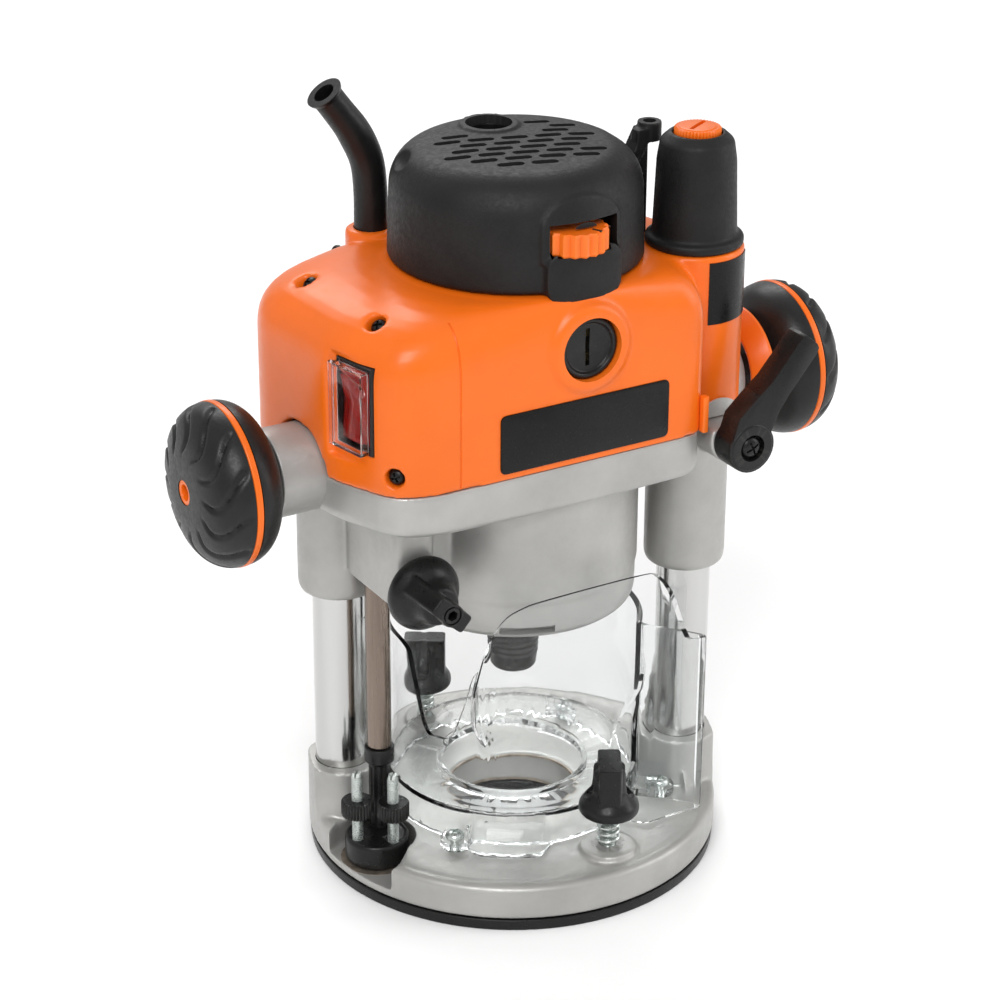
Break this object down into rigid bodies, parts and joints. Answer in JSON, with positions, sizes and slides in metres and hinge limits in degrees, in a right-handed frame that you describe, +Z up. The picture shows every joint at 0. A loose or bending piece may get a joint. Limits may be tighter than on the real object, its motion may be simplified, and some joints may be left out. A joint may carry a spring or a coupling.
{
  "type": "plunge router",
  "caption": "Twin-column plunge router: round base with clear chip guard, sprung motor head with two round handles, depth turret and rod, winder, lock lever and speed dial.",
  "frame": {"origin": "centre of the underside of the round base, on the spindle axis", "axes": "+Z up along the spindle; the two handles lie along X with the winder knob at +X; the front with the name plate and speed dial faces -Y"},
  "size_m": [0.288, 0.17, 0.3202],
  "materials": {
    "orange_plastic": "smooth moulded, satin gloss",
    "black_plastic": "fine textured, moulded",
    "rubber": "soft matt",
    "cast_alloy": "silver painted die casting, satin",
    "polished_steel": "ground and polished",
    "zinc_steel": "bright zinc plated",
    "clear_plastic": "clear polycarbonate",
    "red_plastic": "translucent dark red",
    "copper": "wound copper and steel laminations",
    "bronze": "sintered bronze",
    "carbon": "pressed carbon"
  },
  "bodies": {
    "base": {"base_plate": "cast_alloy", "sub_base": "black_plastic", "column_left": "polished_steel", "column_right": "polished_steel", "chip_guard": "clear_plastic", "guard_screw_1": "zinc_steel", "guard_screw_2": "zinc_steel", "guard_screw_3": "zinc_steel", "guard_screw_4": "zinc_steel"},
    "turret": {"turret": "black_plastic"},
    "stop_1": {"stop_screw_1": "zinc_steel", "stop_nut_1": "black_plastic"},
    "stop_2": {"stop_screw_2": "zinc_steel", "stop_nut_2": "black_plastic"},
    "depth_rod": {"depth_rod": "polished_steel"},
    "fence_clamp_front": {"fence_knob_front": "black_plastic", "fence_screw_front": "zinc_steel"},
    "fence_clamp_rear": {"fence_knob_rear": "black_plastic", "fence_screw_rear": "zinc_steel"},
    "head": {"head_casting": "cast_alloy", "main_housing": "orange_plastic", "motor_cap": "black_plastic", "sleeve_bush_left": "bronze", "sleeve_bush_right": "bronze", "plunge_spring": "polished_steel", "spring_cap": "black_plastic", "cap_bracket": "black_plastic", "cable_boot": "rubber", "lower_bearing": "polished_steel", "upper_bearing": "polished_steel", "stator": "copper", "brush_holder_front": "bronze", "brush_holder_rear": "bronze", "carbon_brush_front": "carbon", "carbon_brush_rear": "carbon", "brush_cap_front": "black_plastic", "brush_cap_rear": "black_plastic", "speed_module": "black_plastic", "handle_knob_left": "black_plastic", "handle_band_left": "orange_plastic", "handle_bolt_left": "polished_steel", "switch_body": "black_plastic"},
    "spindle": {"armature_shaft": "polished_steel", "rotor_core": "copper", "commutator": "copper", "cooling_fan": "black_plastic", "collet": "polished_steel", "collet_nut": "zinc_steel"},
    "winder": {"handle_knob_right": "black_plastic", "handle_band_right": "orange_plastic", "winder_shaft": "polished_steel"},
    "clutch": {"clutch_ring": "orange_plastic"},
    "pinion": {"winder_pinion": "polished_steel"},
    "lock_lever": {"plunge_lock_lever": "black_plastic", "lever_screw": "zinc_steel"},
    "depth_lock": {"depth_lock_knob": "black_plastic"},
    "speed_dial": {"speed_dial": "orange_plastic"},
    "rocker": {"switch_rocker": "red_plastic"},
    "cover": {"switch_cover": "clear_plastic"},
    "cap_button": {"spring_cap_button": "orange_plastic"}
  },
  "joints": [
    {"name": "plunge", "type": "slide", "parent": "base", "child": "head", "axis": [0, 0, 1], "range_m": [-0.068, 0], "stiffness_N_per_m": 600, "springref_m": 0.12, "deforming": ["plunge_spring"]},
    {"name": "spindle_spin", "type": "hinge", "parent": "head", "child": "spindle", "pos_m": [0, 0, 0.15], "axis": [0, 0, 1], "continuous": true},
    {"name": "winder_turn", "type": "hinge", "parent": "head", "child": "winder", "pos_m": [0.1277, 0, 0.1857], "axis": [1, 0, 0], "continuous": true},
    {"name": "clutch_pull", "type": "slide", "parent": "winder", "child": "clutch", "axis": [1, 0, 0], "range_m": [-0.005, 0]},
    {"name": "pinion_turn", "type": "hinge", "parent": "head", "child": "pinion", "pos_m": [0.0673, 0, 0.1857], "axis": [1, 0, 0], "range_deg": [-290, 0]},
    {"name": "plunge_lock", "type": "hinge", "parent": "head", "child": "lock_lever", "pos_m": [0.0676, -0.062, 0.183], "axis": [0, 1, 0], "range_deg": [0, 45]},
    {"name": "depth_lock_turn", "type": "hinge", "parent": "head", "child": "depth_lock", "pos_m": [-0.06392, -0.05, 0.141], "axis": [0, 1, 0], "range_deg": [0, 120]},
    {"name": "depth_rod_slide", "type": "slide", "parent": "base", "child": "depth_rod", "axis": [0, 0, 1], "range_m": [0, 0.028]},
    {"name": "turret_turn", "type": "hinge", "parent": "base", "child": "turret", "pos_m": [-0.069, -0.009, 0.015], "axis": [0, 0, 1], "continuous": true},
    {"name": "stop_1_height", "type": "slide", "parent": "turret", "child": "stop_1", "axis": [0, 0, 1], "range_m": [-0.006, 0.004]},
    {"name": "stop_2_height", "type": "slide", "parent": "turret", "child": "stop_2", "axis": [0, 0, 1], "range_m": [-0.006, 0.004]},
    {"name": "fence_clamp_front_turn", "type": "hinge", "parent": "base", "child": "fence_clamp_front", "pos_m": [0.006, -0.0658, 0.045], "axis": [0, 0, 1], "continuous": true},
    {"name": "fence_clamp_rear_turn", "type": "hinge", "parent": "base", "child": "fence_clamp_rear", "pos_m": [-0.006, 0.0658, 0.045], "axis": [0, 0, 1], "continuous": true},
    {"name": "speed_dial_turn", "type": "hinge", "parent": "head", "child": "speed_dial", "pos_m": [-0.001, -0.044, 0.275], "axis": [0, 0, 1], "range_deg": [-140, 140]},
    {"name": "switch_rock", "type": "hinge", "parent": "head", "child": "rocker", "pos_m": [-0.08481, -0.0309, 0.2205], "axis": [-0.1942, 0.981, 0], "range_deg": [0, 12]},
    {"name": "switch_cover_swing", "type": "hinge", "parent": "head", "child": "cover", "pos_m": [-0.09313, -0.02338, 0.2205], "axis": [0, 0, 1], "range_deg": [-100, 0]},
    {"name": "cap_button_turn", "type": "hinge", "parent": "head", "child": "cap_button", "pos_m": [0.0673, -0.0235, 0.3], "axis": [0, 0, 1], "range_deg": [0, 90]}
  ],
  "couplings": [
    {"joint": "pinion_turn", "follows": "plunge", "rad_per_m": 74.074}
  ]
}
